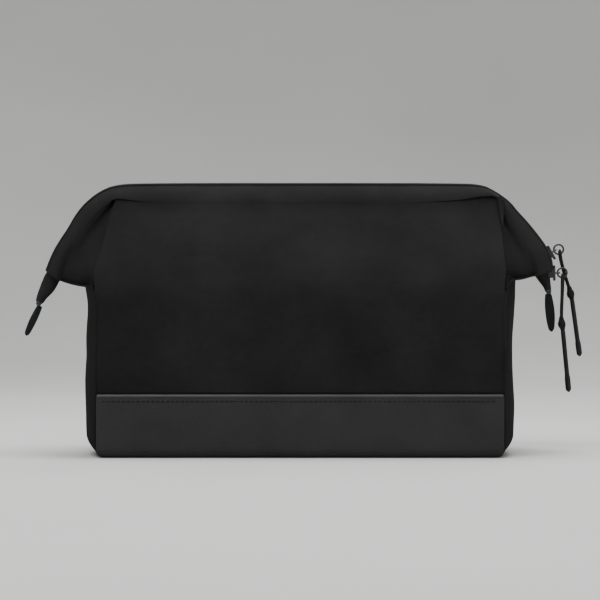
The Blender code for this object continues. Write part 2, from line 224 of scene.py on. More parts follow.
def braided(name, colour):
    """Cord or thread with a slanted plait."""
    material, tree, shader = new_material(name, colour, 0.8, specular=0.1)
    place = add(tree, "ShaderNodeTexCoord")
    plait = add(tree, "ShaderNodeTexWave", Scale=420.0, Distortion=1.5, Detail=1.0)
    plait.bands_direction = "DIAGONAL"
    tree.links.new(place.outputs["Object"], plait.inputs["Vector"])
    bump(tree, shader, plait.outputs["Fac"], 0.00012)
    tint(tree, shader, plait.outputs["Fac"], [c * 0.6 for c in colour], [c * 1.4 for c in colour], 0.1, 0.9)
    return material


MATERIALS = {
    "canvas": woven("canvas", (0.0095, 0.0095, 0.0099), (0.0195, 0.0195, 0.0201),
                    CANVAS_PITCH, 0.00012, 0.86, specular=0.05),
    # The panels' canvas made a little lighter for the wings: painted light, lifting the shade in their
    # hollows.
    "wing": woven("wing_canvas_lightened", (0.0110, 0.0110, 0.0114), (0.0215, 0.0215, 0.0220),
                  CANVAS_PITCH, 0.00012, 0.9, specular=0.06),
    # The panels' canvas made darker for the ends: painted shade on the sides of the bag.
    "gusset": woven("gusset_canvas_shaded", (0.0090, 0.0092, 0.0094), (0.0170, 0.0172, 0.0175),
                    CANVAS_PITCH, 0.00012, 0.9, specular=0.03),
    "strip": woven("strip_canvas", (0.0135, 0.0135, 0.0140), (0.0245, 0.0245, 0.0250),
                   CANVAS_PITCH, 0.00011, 0.82, sheen=0.02, specular=0.1),
    "lining": woven("lining", (0.045, 0.046, 0.049), (0.070, 0.072, 0.077),
                    LINING_PITCH, 0.00003, 0.6, specular=0.2),
    "zip_cloth": woven("zip_cloth", (0.012, 0.012, 0.0125), (0.026, 0.026, 0.027),
                       TAPE_PITCH, 0.00009, 0.8, specular=0.1),
    "leather": hide("leather", (0.0160, 0.0160, 0.0165), (0.0300, 0.0300, 0.0305),
                    1300.0, 0.00010, 0.55, 0.14),
    # A lighter, shinier copy of the leather for the band's raised top edge: the lighter colour is a painted
    # highlight.
    "edge": hide("leather_edge_highlight", (0.030, 0.030, 0.0305), (0.062, 0.062, 0.063),
                 1500.0, 0.00010, 0.45, 0.35),
    # Near-black cord material for the line just above the band: painted shadow.
    "shadow_line": braided("shadow_line", (0.0045, 0.0045, 0.0046)),
    "tab": hide("tab_leather", (0.0060, 0.0085, 0.0080), (0.0115, 0.0150, 0.0142),
                1600.0, 0.00006, 0.50, 0.12),
    "thread": braided("thread", (0.012, 0.012, 0.0125)),
    "cord": braided("cord", (0.0130, 0.0132, 0.0135)),
    "coil": plastic("coil", (0.020, 0.020, 0.021), 0.40),
    "sleeve": plastic("sleeve", (0.0095, 0.0098, 0.0100), 0.45),
    "steel": plated("gunmetal", (0.055, 0.055, 0.058), 0.38),
    "board": plastic("board", (0.12, 0.11, 0.10), 0.8),
}


# ---------------------------------------------------------------- building helpers

def finish_mesh(name, points, faces, material, flat=None):
    """An object from points and faces; flat is each point's place on the flat cloth, for the weave."""
    mesh = bpy.data.meshes.new(name)
    mesh.from_pydata(points, [], faces)
    if flat is not None:
        layer = mesh.uv_layers.new(name="cloth")
        for loop in mesh.loops:
            layer.data[loop.index].uv = flat[loop.vertex_index]
    shape = bmesh.new()
    shape.from_mesh(mesh)
    bmesh.ops.recalc_face_normals(shape, faces=shape.faces)
    shape.to_mesh(mesh)
    shape.free()
    mesh.shade_smooth()
    mesh.set_sharp_from_angle(angle=radians(50))
    mesh.materials.append(MATERIALS[material])
    thing = bpy.data.objects.new(name, mesh)
    bpy.context.collection.objects.link(thing)
    return thing


def attach(thing, body, replaced=()):
    """body is one body's name, or (body, body, start, end) for a piece between two bodies, which is only
    baked in place; those bodies and points are not used.
    """
    if isinstance(body, str):
        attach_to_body(thing, body)
    else:
        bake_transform(thing)
    if replaced:
        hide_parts(*replaced)
    return thing


def surface(name, place, columns, rows, thickness, material, size):
    """A thin closed cloth solid; place(u, v) gives the middle surface for u and v from 0 to 1."""
    grid = [[Vector(place(j / columns, i / rows)) for j in range(columns + 1)] for i in range(rows + 1)]
    skins, flats = ([], []), []
    for i in range(rows + 1):
        for j in range(columns + 1):
            along = grid[min(i + 1, rows)][j] - grid[max(i - 1, 0)][j]
            across = grid[i][min(j + 1, columns)] - grid[i][max(j - 1, 0)]
            edge = min(i, rows - i, 2) / 2 * 0.25 + min(j, columns - j, 2) / 2 * 0.25 + 0.5
            normal = along.cross(across).normalized() * thickness / 2 * edge
            skins[0].append(grid[i][j] + normal)
            skins[1].append(grid[i][j] - normal)
            flats.append((j / columns * size[0], i / rows * size[1]))
    wide = columns + 1
    count = (rows + 1) * wide
    faces = []
    for i in range(rows):
        for j in range(columns):
            a, b = i * wide + j, (i + 1) * wide + j
            faces += [(a, a + 1, b + 1, b), (count + a, count + b, count + b + 1, count + a + 1)]
    rim = list(range(wide)) + [i * wide + columns for i in range(1, rows + 1)]
    rim += [rows * wide + j for j in range(columns - 1, -1, -1)] + [i * wide for i in range(rows - 1, 0, -1)]
    faces += [(a, count + a, count + b, b) for a, b in zip(rim, rim[1:] + rim[:1])]
    return finish_mesh(name, skins[0] + skins[1], faces, material, flats + flats)


def frames_along(route):
    """Tangent and two cross directions at each point of a route."""
    out = []
    side = None
    for k, point in enumerate(route):
        tangent = (route[min(k + 1, len(route) - 1)] - route[max(k - 1, 0)]).normalized()
        if side is None:
            side = tangent.orthogonal().normalized()
        side = (side - tangent * side.dot(tangent)).normalized()
        out.append((point, side, tangent.cross(side)))
    return out


def tube_mesh(name, route, radius, material, sides=8, closed=False):
    """A capped tube; radius is a number or a function of the share of the way along."""
    route = [Vector(p) for p in route]
    points, faces, flats = [], [], []
    last = len(route) - 1
    for k, (centre, first, second) in enumerate(frames_along(route)):
        r = radius(k / last) if callable(radius) else radius
        for s in range(sides):
            points.append(centre + r * (cos(tau * s / sides) * first + sin(tau * s / sides) * second))
            flats.append((s / sides * tau * r, k * 0.001))
    for k in range(last + 1 if closed else last):
        for s in range(sides):
            a, b = k * sides + s, k * sides + (s + 1) % sides
            c, d = (a + sides) % len(points), (b + sides) % len(points)
            faces.append((a, b, d, c))
    if not closed:
        faces += [tuple(range(sides)), tuple(range(last * sides, (last + 1) * sides))]
    return finish_mesh(name, points, faces, material, flats)


def smooth(points, step):
    """Points about step apart on a smooth curve through the given points."""
    knots = [Vector(p) for p in points]
    knots = [2 * knots[0] - knots[1]] + knots + [2 * knots[-1] - knots[-2]]
    route = []
    for a, b, c, d in zip(knots, knots[1:], knots[2:], knots[3:]):
        count = max(1, round((c - b).length / step))
        for k in range(count):
            t = k / count
            route.append(0.5 * (2 * b + (c - a) * t + (2 * a - 5 * b + 4 * c - d) * t ** 2
                                + (3 * b - a - 3 * c + d) * t ** 3))
    return route + [knots[-2]]


def evenly(route, pitch):
    """Points exactly pitch apart along a route."""
    out, spare = [route[0].copy()], pitch
    for a, b in zip(route, route[1:]):
        length = (b - a).length
        while length >= spare > 0:
            a = a + (b - a) * (spare / length)
            out.append(a)
            length, spare = (b - a).length, pitch
        spare -= length
    return out


STITCH_SIDES = 6
STITCH_RINGS = ((-0.5, -0.5, 0.6), (-0.3, 0.6, 1), (0.0, 0.9, 1.05), (0.3, 0.6, 1), (0.5, -0.5, 0.6))


def stitches(name, route, normal, pitch=0.0030, length=0.0021, radius=0.00022):
    """A row of separate thread stitches lying on a surface.

    Each ring of a stitch has its share of the length, its lift in radii and its width in radii.
    """
    stations = evenly(smooth(route, 0.0010), pitch)
    points, faces, flats = [], [], []
    up = Vector(normal)
    for a, b in zip(stations, stations[1:]):
        along = (b - a).normalized()
        across = along.cross(up).normalized()
        middle = (a + b) / 2
        base = len(points)
        for t, lift, r in STITCH_RINGS:
            centre = middle + along * (t * length) + up * (lift * radius)
            for s in range(STITCH_SIDES):
                turn = tau * s / STITCH_SIDES
                points.append(centre + radius * r * (cos(turn) * across + sin(turn) * up))
                flats.append((0.0, 0.0))
        last = base + (len(STITCH_RINGS) - 1) * STITCH_SIDES
        for ring in range(base, last, STITCH_SIDES):
            for s in range(STITCH_SIDES):
                p, q = ring + s, ring + (s + 1) % STITCH_SIDES
                faces.append((p, q, q + STITCH_SIDES, p + STITCH_SIDES))
        faces += [tuple(range(base, base + STITCH_SIDES)), tuple(range(last, last + STITCH_SIDES))]
    return finish_mesh(name, points, faces, "thread", flats)


def pick(table, share):
    """Smooth value at a share of the way through a list of (x, z) stations."""
    place = share * (len(table) - 1)
    k = min(int(place), len(table) - 2)
    t = place - k
    stations = [table[max(0, min(len(table) - 1, k + n))] for n in (-1, 0, 1, 2)]
    return tuple(0.5 * (2 * b + (c - a) * t + (2 * a - 5 * b + 4 * c - d) * t ** 2
                        + (3 * b - a - 3 * c + d) * t ** 3) for a, b, c, d in zip(*stations))


def ramp(value, stations):
    """Straight-line value through (place, value) stations, held level beyond both ends."""
    if value <= stations[0][0]:
        return stations[0][1]
    for (a, va), (b, vb) in zip(stations, stations[1:]):
        if value <= b:
            t = (value - a) / (b - a)
            return va + (vb - va) * t
    return stations[-1][1]


def softly(value, stations, reach=0.004):
    """A ramp's value averaged over a short reach, so that its corners are round."""
    steps = (-2, -1, 0, 1, 2)
    return sum(ramp(value + reach * k / 2, stations) for k in steps) / len(steps)


def crumple(point, seed, scale, amount):
    """Soft unevenness of cloth: fixed noise, scale lumps to the metre, up to about amount high."""
    return amount * noise.noise(Vector(point) * scale + Vector((seed, seed * 1.7, seed * 0.6)))


# ---------------------------------------------------------------- camera, light and stage

CAMERA_DISTANCE, CAMERA_HEIGHT, CAMERA_X = 1.60, 0.0960, -0.0001
VIEW_WIDTH = 0.3645                     # width of the picture in the plane of the bag's front
FRONT_PLANE = -0.0625                   # Y of that plane
SENSOR = 36.0                           # millimetres


def make_camera():
    data = bpy.data.cameras.new("camera")
    camera = bpy.data.objects.new("camera", data)
    bpy.context.collection.objects.link(camera)
    camera.location = (CAMERA_X, -CAMERA_DISTANCE, CAMERA_HEIGHT)
    camera.rotation_euler = (radians(90), 0, 0)
    data.sensor_width = SENSOR
    data.lens = SENSOR * (CAMERA_DISTANCE + FRONT_PLANE) / VIEW_WIDTH
    data.clip_start = 0.05
    bpy.context.scene.camera = camera


def make_light(name, place, target, size, power):
    """A soft rectangular lamp aimed at a point."""
    data = bpy.data.lights.new(name, "AREA")
    data.shape = "RECTANGLE"
    data.size, data.size_y = size
    data.energy = power
    lamp = bpy.data.objects.new(name, data)
    bpy.context.collection.objects.link(lamp)
    lamp.location = place
    lamp.rotation_euler = (Vector(target) - Vector(place)).to_track_quat("-Z", "Y").to_euler()


# Reach from the middle and height, from the floor out and up the wall.
STAGE = ((0.30, 0.0), (1.30, 0.0), (1.50, 0.012), (1.70, 0.045), (1.90, 0.11), (2.08, 0.23), (2.20, 0.42),
         (2.28, 0.70), (2.30, 1.10), (2.30, 2.80))
FLOOR_GAP = 0.0002                      # the floor lies this far below the bag


def make_stage():
    """A pale round floor that curves up into a wall all round, far from the bag."""
    turns = 96
    points, faces = [], []
    for reach, z in STAGE:
        points += [(reach * cos(tau * k / turns), reach * sin(tau * k / turns), z) for k in range(turns)]
    for i in range(len(STAGE) - 1):
        for k in range(turns):
            a, b = i * turns + k, i * turns + (k + 1) % turns
            faces.append((a, b, b + turns, a + turns))
    faces.append(tuple(range(turns)))
    material, tree, shader = new_material("stage", (0.62, 0.62, 0.61), 0.9)
    tint(tree, shader, blotches(tree, 3.0), (0.60, 0.60, 0.59), (0.64, 0.64, 0.63))
    MATERIALS["stage"] = material
    floor = finish_mesh("stage", points, faces, "stage")
    floor.data.flip_normals()
    floor.location.z = -FLOOR_GAP


def make_lights():
    world = bpy.data.worlds.new("studio")
    bpy.context.scene.world = world
    world.use_nodes = True
    background = world.node_tree.nodes["Background"]
    background.inputs["Color"].default_value = (0.95, 0.96, 1.0, 1)
    background.inputs["Strength"].default_value = 0.28
    make_light("key", (-0.5, -1.1, 1.5), (0, 0, 0.08), (1.2, 0.8), 24)
    make_light("top", (0.1, 0.15, 1.3), (0, 0, 0.1), (1.4, 0.7), 17)
    make_light("fill", (1.5, -0.9, 0.6), (0, 0, 0.1), (0.9, 0.9), 5)
    make_light("back", (0.3, 1.5, 1.2), (0, 0, 0.1), (1.0, 0.7), 10)


# ---------------------------------------------------------------- canvas body

# Height and Y of the front panel, and height and distance from the middle of each side seam.
PROFILE = [(0.0, -0.0602), (0.030, -0.0604), (0.060, -0.0604), (0.080, -0.0588), (0.094, -0.0566),
           (FOLD_Z, FOLD_Y), (0.112, -0.0492), (0.128, -0.0378), (0.142, -0.0266), (SEAM_Z, SEAM_Y),
           (0.166, -0.0105)]
SEAM_LEFT = [(0.0, 0.1240), (0.090, 0.1240), (0.104, 0.1256), (0.1137, 0.1266), (0.125, 0.1232),
             (0.147, 0.1188), (0.158, 0.1160), (0.163, 0.1145)]
SEAM_RIGHT = [(0.0, 0.1240), (0.090, 0.1240), (0.104, 0.1252), (0.1137, 0.1262), (0.125, 0.1256),
              (0.147, 0.1242), (0.158, 0.1234), (0.163, 0.1228)]
GUSSET_TOP = {"left": 0.1072, "right": 0.1110}
FOLD_BEND = (0.088, 0.113)              # heights between which the cloth bends at the fold line


def front_y(z):
    """Y of the front panel at a height."""
    return softly(z, PROFILE, 0.006)


def seam_x(z, side):
    """Distance of a side seam from the middle at a height."""
    return softly(z, SEAM_LEFT if side < 0 else SEAM_RIGHT, 0.004)


def panel_top(across):
    """Height of the panel's top edge: level in the middle and higher at the corners, most at the right."""
    return 0.1570 + (0.0036 if across < 0 else 0.0050) * abs(across) ** 3.2


def panel_place(side, inset, low, ends, drop=0.0):
    """Canvas or lining of one face: inset inwards, from height low up, short of the seams by ends."""
    def place(u, v):
        across = 2 * u - 1
        z = low + (panel_top(across) - drop - low) * v
        x = across * (seam_x(z, across) - ends)
        y = front_y(z) + inset
        middle = 1 - across ** 2
        belly = 0.0012 * middle * sin(pi * min(1.0, v * 1.15))
        folds = crumple((x, 0, z), 3.1 * side, 16, 0.0012)
        folds += crumple((x, 0, z), 8.3 * side, 45, 0.00045)
        pinch = 0.0009 * sin(across * 26 + 7 * z / 0.1) * max(0.0, abs(across) - 0.86) / 0.14 * sin(pi * v)
        hold = min(1.0, 9 * v, 12 * (1 - v)) * min(1.0, 14 * (1 - abs(across)))
        return x, -side * (y - belly - (folds + pinch) * hold), z + 0.3 * folds * hold
    return place


def fold_blend(side, word):
    """The bodies on either side of the fold line, and the points between which the cloth bends."""
    y = -side * FOLD_Y
    return "root", f"{word}_flap", *((0, y, z) for z in FOLD_BEND)


def make_panels():
    for side, word in ((-1, "front"), (1, "back")):
        panel = surface(f"{word}_panel", panel_place(side, 0.0, BAND_TOP - 0.006, 0.0), 120, 84, CANVAS,
                        "canvas", (0.248, 0.145))
        attach(panel, fold_blend(side, word), (f"{word}_panel_lower", f"{word}_panel_upper"))
        lining = surface(f"{word}_lining", panel_place(side, 0.0016, 0.0060, 0.0016, 0.0010), 60, 60, LINING,
                         "lining", (0.245, 0.170))
        attach(lining, fold_blend(side, word), (f"lining_{word}", f"lining_{word}_upper"))


def gusset_place(side, edge, bulge, depth_in, low, high, seed):
    """Canvas or lining of one end: edge beyond the seam, swollen by bulge, depth_in short of the panels."""
    def place(u, v):
        z = low + (high - low) * v
        depth = -front_y(z) - depth_in
        if z < 0.006:
            depth -= 0.004 * (1 - (max(z, 0.0) / 0.006)) ** 2
        y = (2 * u - 1) * depth
        round_side = (1 - abs(2 * u - 1) ** 2.4)
        tall = min(1.0, (z + 0.001) / 0.012) ** 0.5
        folds = crumple((y, z, 0), seed, 22, 0.0016) + crumple((y, z, 0), seed + 4, 60, 0.0005)
        hold = min(1.0, 8 * v, 10 * (1 - v)) * min(1.0, 10 * (1 - abs(2 * u - 1)))
        x = seam_x(z, side) + edge + bulge * round_side * tall + folds * hold
        if z < 0.010:
            x -= 0.0045 * (1 - max(z, 0.0) / 0.010) ** 2
        return side * x, y, z
    return place


def make_gussets():
    for side, word in ((-1, "left"), (1, "right")):
        outside = gusset_place(side, 0.0010, 0.0080, 0.0008, 0.0006, GUSSET_TOP[word], 5.0 * side)
        body = surface(f"{word}_gusset_cloth", outside, 72, 60, CANVAS, "gusset", (0.118, 0.104))
        attach(body, "root", (f"{word}_gusset",))
        inside = gusset_place(side, -0.0008, 0.0076, 0.0024, 0.0046, 0.1040, 5.0 * side)
        inner = surface(f"{word}_lining", inside, 36, 36, LINING, "lining", (0.116, 0.100))
        attach(inner, "root", (f"lining_{word}",))
        for face, facing in ((-1, "front"), (1, "back")):
            route = []
            for z in (0.0016, 0.004, 0.009, 0.020, 0.040, 0.060, 0.080, 0.092, 0.1015):
                corner = max(0.0, 1 - z / 0.009) ** 2
                route.append((side * (seam_x(z, side) + 0.0008 - 0.0040 * corner),
                              -face * (front_y(z) - 0.0002 + 0.0022 * corner), z))
            ridge = tube_mesh(f"{word}_{facing}_seam_ridge", smooth(route, 0.003), 0.0010, "canvas", 8)
            attach(ridge, "root", (f"{word}_{facing}_seam_edge",))


def leg_share(side, v):
    """Share along the mouth outline for a wing's height: 0 at the hinge end, 1 at the panel's corner."""
    return 0.356 * v if side < 0 else 1 - 0.318 * v


def arch(side, u):
    """Lift of a wing's lower edge beside the gusset; the right one is higher."""
    return (0.0052 if side > 0 else 0.0010) * min(1.0, u / 0.18) * max(0.0, 1 - u) ** 0.8


WING_LOW, WING_HIGH = 0.1040, 0.1600    # heights of a wing's edge along the panel
WING_COLUMNS = 37
WING_HEM = 3 / WING_COLUMNS             # share of a wing's columns that turn back to the panel
# How a wing bends between panel and strip: the bend's slant, and its start and width at height BEND_Z.
BENDS = {"left": (radians(28), 0.1286, 0.018), "right": (radians(18), 0.1276, 0.019)}
BEND_Z = 0.12
SHELF_X, SHELF_Z = 0.1262, 0.1034       # edge of the loose cloth at the gusset's top
SHELF_BEND = (0.1275, 0.1490)           # distances from the middle between which that cloth bends


def wing_place(side, front):
    """A wing's cloth from the panel (u 0) to the strip (u 1); its first columns turn back to the panel."""
    def cloth(u, v):
        z0 = WING_LOW + (WING_HIGH - WING_LOW) * v
        tuck = 0.0026 * min(1.0, 6 * (1 - v))
        near = Vector((side * (seam_x(z0, side) - tuck), -front * (front_y(z0) + 0.0020), z0))
        x1, z1 = pick(INNER, leg_share(side, v))
        far_y = -0.0088 - 0.0046 * v
        far = Vector((x1 + side * 0.0020, -front * far_y, z1))
        point = near.lerp(far, u)
        width = (far - near).length
        hollow = 0.24 * width * sin(pi * u ** 0.65) * (1 - 0.4 * v)
        folds = crumple((point.x, 0, point.z), 7.0 + side, 60, 0.0014) * sin(pi * u)
        crease = 0.0014 * sin(pi * u) * sin(9 * u + 5 * v)
        valley = 0.0034 * max(0.0, 1 - abs(u - 0.86) / 0.13) * max(0.0, 1 - v / 0.45)
        groove = 0.0036 * max(0.0, 1 - max(0.0, u - 0.06) / 0.10)
        point.y -= front * (hollow + folds + crease + valley + groove)
        point.z += arch(side, u) * (1 - v) ** 2 - 0.0010 * sin(pi * u) * (1 - v)
        return point

    def place(u, v):
        if u >= WING_HEM:
            return cloth((u - WING_HEM) / (1 - WING_HEM), v)
        edge = cloth(0.0, v)
        z = edge.z
        inner = Vector((edge.x - side * 0.0032, -front * (front_y(z) + CANVAS + 0.0004), z))
        return inner.lerp(edge, u / WING_HEM)
    return place


def corner_fold_place(front):
    """A small tongue of cloth pinched out beside the panel's right corner, pointed at its lower end."""
    def place(u, v):
        left = Vector((0.1243 - 0.0012 * v, 0, 0.1415 + 0.0190 * v))
        right = Vector((0.1258 + 0.0026 * v, 0, 0.1415 + 0.0165 * v))
        left.x += 0.0012 * (1 - v)
        point = left.lerp(right, u)
        lift = 0.0034 * sin(pi * (0.15 + 0.85 * u)) * (0.4 + 0.6 * v)
        point.y = front * (0.0004 - front_y(point.z) + lift)
        return point
    return place


def make_wings():
    for front, word in ((-1, "front"), (1, "back")):
        fold = surface(f"{word}_corner_fold", corner_fold_place(front), 12, 24, 0.0010, "canvas",
                       (0.005, 0.019))
        attach(fold, f"{word}_flap")
        for side, end in ((-1, "left"), (1, "right")):
            wing = surface(f"{word}_{end}_wing_cloth", wing_place(side, front), WING_COLUMNS, 44, WING_CLOTH,
                           "wing", (0.045, 0.056))
            y = -front * SEAM_Y
            turn, x, span = BENDS[end]
            start = (side * x, y, BEND_Z)
            stop = (side * (x + span * cos(turn)), y, BEND_Z + span * sin(turn))
            attach(wing, (f"{word}_flap", f"{word}_frame", start, stop), (f"{word}_{end}_wing",))


def make_shelves():
    """The loose cloth over each gusset, which narrows towards the end of the zip."""
    for side, end in ((-1, "left"), (1, "right")):
        tip_x, tip_z = pick(INNER, leg_share(side, 0.0))

        def place(u, v):
            x = SHELF_X + (abs(tip_x) - SHELF_X) * v
            wide = 0.0535 * (1 - v) + 0.0086 * v
            y = (2 * u - 1) * wide
            z = SHELF_Z + (tip_z - SHELF_Z) * v - 0.0012 * sin(pi * v) + arch(side, v)
            z += crumple((x, y, 0), 12.0 * side, 70, 0.0009) * sin(pi * v) * (1 - abs(2 * u - 1))
            return side * x, y, z

        shelf = surface(f"{end}_shelf_cloth", place, 40, 18, WING_CLOTH, "wing", (0.1, 0.025))
        start, stop = ((side * x, 0, SHELF_Z) for x in SHELF_BEND)
        attach(shelf, ("root", "hinge_ends", start, stop), (f"{end}_gusset_shelf",))


# ---------------------------------------------------------------- leather base

def band_line(offset):
    """Y and Z of the trough's cross-section, from the front edge round the bottom to the back edge."""
    radius, face, low = 0.0052, -BAND_Y - offset, offset
    line = [(-face, z) for z in (BAND_TOP - 0.0002, 0.031, 0.022, 0.013, low + radius)]
    for angle in range(15, 91, 15):
        a = radians(angle)
        line.append((-face + radius * (1 - cos(a)), low + radius * (1 - sin(a))))
    line += [(-0.045, low), (-0.03, low), (-0.015, low), (0.0, low)]
    return line + [(-y, z) for y, z in line[-2::-1]]


def make_base():
    line = band_line(LEATHER / 2)

    def place(u, v):
        k = v * (len(line) - 1)
        i = min(int(k), len(line) - 2)
        y = line[i][0] + (line[i + 1][0] - line[i][0]) * (k - i)
        z = line[i][1] + (line[i + 1][1] - line[i][1]) * (k - i)
        across = 2 * u - 1
        corner = max(0.0, 1 - z / 0.0060)
        half = HALF + 0.0006 - 0.0050 * (1 - (1 - corner ** 2) ** 0.5)
        x = across * half
        wave = crumple((x, y * 0.5, z), 2.0, 14, 0.0007) * min(1.0, z / 0.008)
        return x, y + (wave if y < 0 else -wave), max(z, line[len(line) // 2][1])

    base = surface("leather_base_skin", place, 90, (len(line) - 1) * 2, LEATHER, "leather", (0.247, 0.20))
    attach(base, "root", ("leather_base",))
    stations = (-HALF, -0.06, 0.0, 0.06, HALF)
    for side, word in ((-1, "front"), (1, "back")):
        # The band's raised top edge in the lighter leather, a painted highlight along it.
        route = smooth([(x, side * (-BAND_Y - 0.0006), BAND_TOP - 0.0003) for x in stations], 0.004)
        attach(tube_mesh(f"{word}_band_edge", route, 0.00095, "edge", 10), "root")
        # A thin near-black cord on the canvas just above the band: a painted shadow line where the canvas
        # folds in.
        route = [(x, side * (0.0006 - front_y(BAND_TOP)), BAND_TOP + 0.0012) for x in stations]
        attach(tube_mesh(f"{word}_band_welt", route, 0.0009, "shadow_line", 8), "root")
        z = BAND_TOP - 0.0037
        route = [(x, side * (-BAND_Y + 0.0001), z) for x in (-0.121, -0.04, 0.04, 0.121)]
        attach(stitches(f"{word}_band_stitching", route, (0, side, 0)), "root")


def make_lining_floor():
    low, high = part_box("lining_bottom")

    def place(u, v):
        x, y = low[0] + (high[0] - low[0]) * u, low[1] + (high[1] - low[1]) * v
        return x, y, (low[2] + high[2]) / 2 + crumple((x, y, 0), 1.5, 30, 0.0003)

    attach(surface("bottom_lining", place, 40, 20, LINING, "lining", (0.242, 0.113)), "root",
           ("lining_bottom",))


# ---------------------------------------------------------------- mouth: strips, tape, coil

def mouth_depth(share, bar, end):
    """Y that closes from its value along the bar to its value at the hinge ends."""
    lift = min(1.0, min(share, 1 - share) / 0.33)
    lift = lift * lift * (3 - 2 * lift)
    return end + (bar - end) * lift


def outer_route(side, bar, end, lift, step=0.0040):
    """Points step apart along the mouth's outer edge, at mouth_depth from bar and end."""
    count = 150
    route = []
    for k in range(count + 1):
        share = k / count
        x, z = pick(OUTER, share)
        route.append(Vector((x, -side * mouth_depth(share, bar, end), z + lift)))
    return evenly(route, step)


STRIP_TOP, STRIP_LOW = (-0.0101, -0.0060), (-0.0142, -0.0086)     # Y along the bar and at the hinge ends
FACING_TOP, FACING_DROP = (-0.0048, -0.0034), (-0.0060, -0.0030)
TAPE_EDGE, TAPE_INSIDE = (-0.0104, -0.0064), -0.0022
ROLL, TAPE_STITCHES, TEETH = (-0.0103, -0.0063), (-0.0078, -0.0050), (-0.0014, -0.0014)
COIL_PITCH, COIL_STEPS, COIL_WIRE = 0.0013, 8, 0.00036


def make_mouth():
    """The cloth strip and its facing, and the zip tape with its rolled edge, stitches and wound coil."""
    for side, word in ((-1, "front"), (1, "back")):

        def strip_place(u, v):
            (xo, zo), (xi, zi) = pick(OUTER, u), pick(INNER, u)
            top, low = mouth_depth(u, *STRIP_TOP), mouth_depth(u, *STRIP_LOW)
            x, z = xo + (xi - xo) * v, zo - 0.0004 + (zi - zo - 0.0004) * v
            swell = 0.0011 * sin(pi * v)
            folds = crumple((x, 0, z), 21.0 * side, 55, 0.0007) * sin(pi * v)
            return x, -side * (top + (low - top) * v - swell - folds), z

        strip = surface(f"{word}_strip_cloth", strip_place, 200, 12, CANVAS, "strip", (0.38, 0.012))
        attach(strip, f"{word}_frame",
               (f"{word}_strip_bar", f"{word}_strip_left", f"{word}_strip_right"))

        def facing_place(u, v):
            (xo, zo), (xi, zi) = pick(OUTER, u), pick(INNER, u)
            y = mouth_depth(u, *FACING_TOP) + mouth_depth(u, *FACING_DROP) * v ** 2
            return xo + (xi - xo) * v, -side * y, zo - 0.0012 + (zi - zo + 0.0012) * v

        attach(surface(f"{word}_strip_facing", facing_place, 160, 8, LINING, "strip", (0.38, 0.012)),
               f"{word}_frame")

        def tape_place(u, v):
            x, z = pick(OUTER, u)
            edge = mouth_depth(u, *TAPE_EDGE)
            y = edge + (TAPE_INSIDE - edge) * v
            return x, -side * y, z + 0.0003 * sin(pi * v)

        attach(surface(f"{word}_tape_cloth", tape_place, 200, 6, 0.0006, "zip_cloth", (0.38, 0.008)),
               f"{word}_frame", (f"{word}_zip_tape",))
        roll = tube_mesh(f"{word}_mouth_edge", outer_route(side, *ROLL, 0.0), 0.0008, "strip", 8)
        attach(roll, f"{word}_frame")
        teeth = outer_route(side, *TEETH, 0.0005, COIL_PITCH / COIL_STEPS)
        coil = []
        for k, centre in enumerate(teeth):
            angle = tau * k / COIL_STEPS
            along = (teeth[min(k + 1, len(teeth) - 1)] - teeth[max(k - 1, 0)]).normalized()
            out = Vector((0, 1, 0)).cross(along).normalized()
            coil.append(centre + out * (0.00075 * sin(angle)) + Vector((0, 0.00120 * cos(angle), 0)))
        wound = tube_mesh(f"{word}_coil_teeth", coil, COIL_WIRE, "coil", 5)
        attach(wound, f"{word}_frame", (f"{word}_zip_coil",))
        row = stitches(f"{word}_tape_stitching", outer_route(side, *TAPE_STITCHES, 0.0006), (0, 0, 1),
                       pitch=0.0026, length=0.0018)
        attach(row, f"{word}_frame")


# ---------------------------------------------------------------- zip ends, tabs, sliders and pulls

# Middle line of each joined zip end from the mouth down to the tab, and half its width along that line.
ZIP_ENDS = {
    "left": ([(-0.1536, 0.1190), (-0.1550, 0.1140), (-0.1572, 0.1090), (-0.1597, 0.1040), (-0.1628, 0.0990),
              (-0.1650, 0.0944)], (0.0026, 0.0040, 0.0047, 0.0044, 0.0031, 0.0020)),
    "right": ([(0.1520, 0.1210), (0.1522, 0.1170), (0.1530, 0.1130), (0.1545, 0.1090), (0.1560, 0.1050),
               (0.1569, 0.1016)], (0.0026, 0.0042, 0.0046, 0.0034, 0.0021, 0.0016)),
}
CRIMP_STATIONS = (-0.0024, -0.0021, -0.0010, 0.0010, 0.0021, 0.0024)


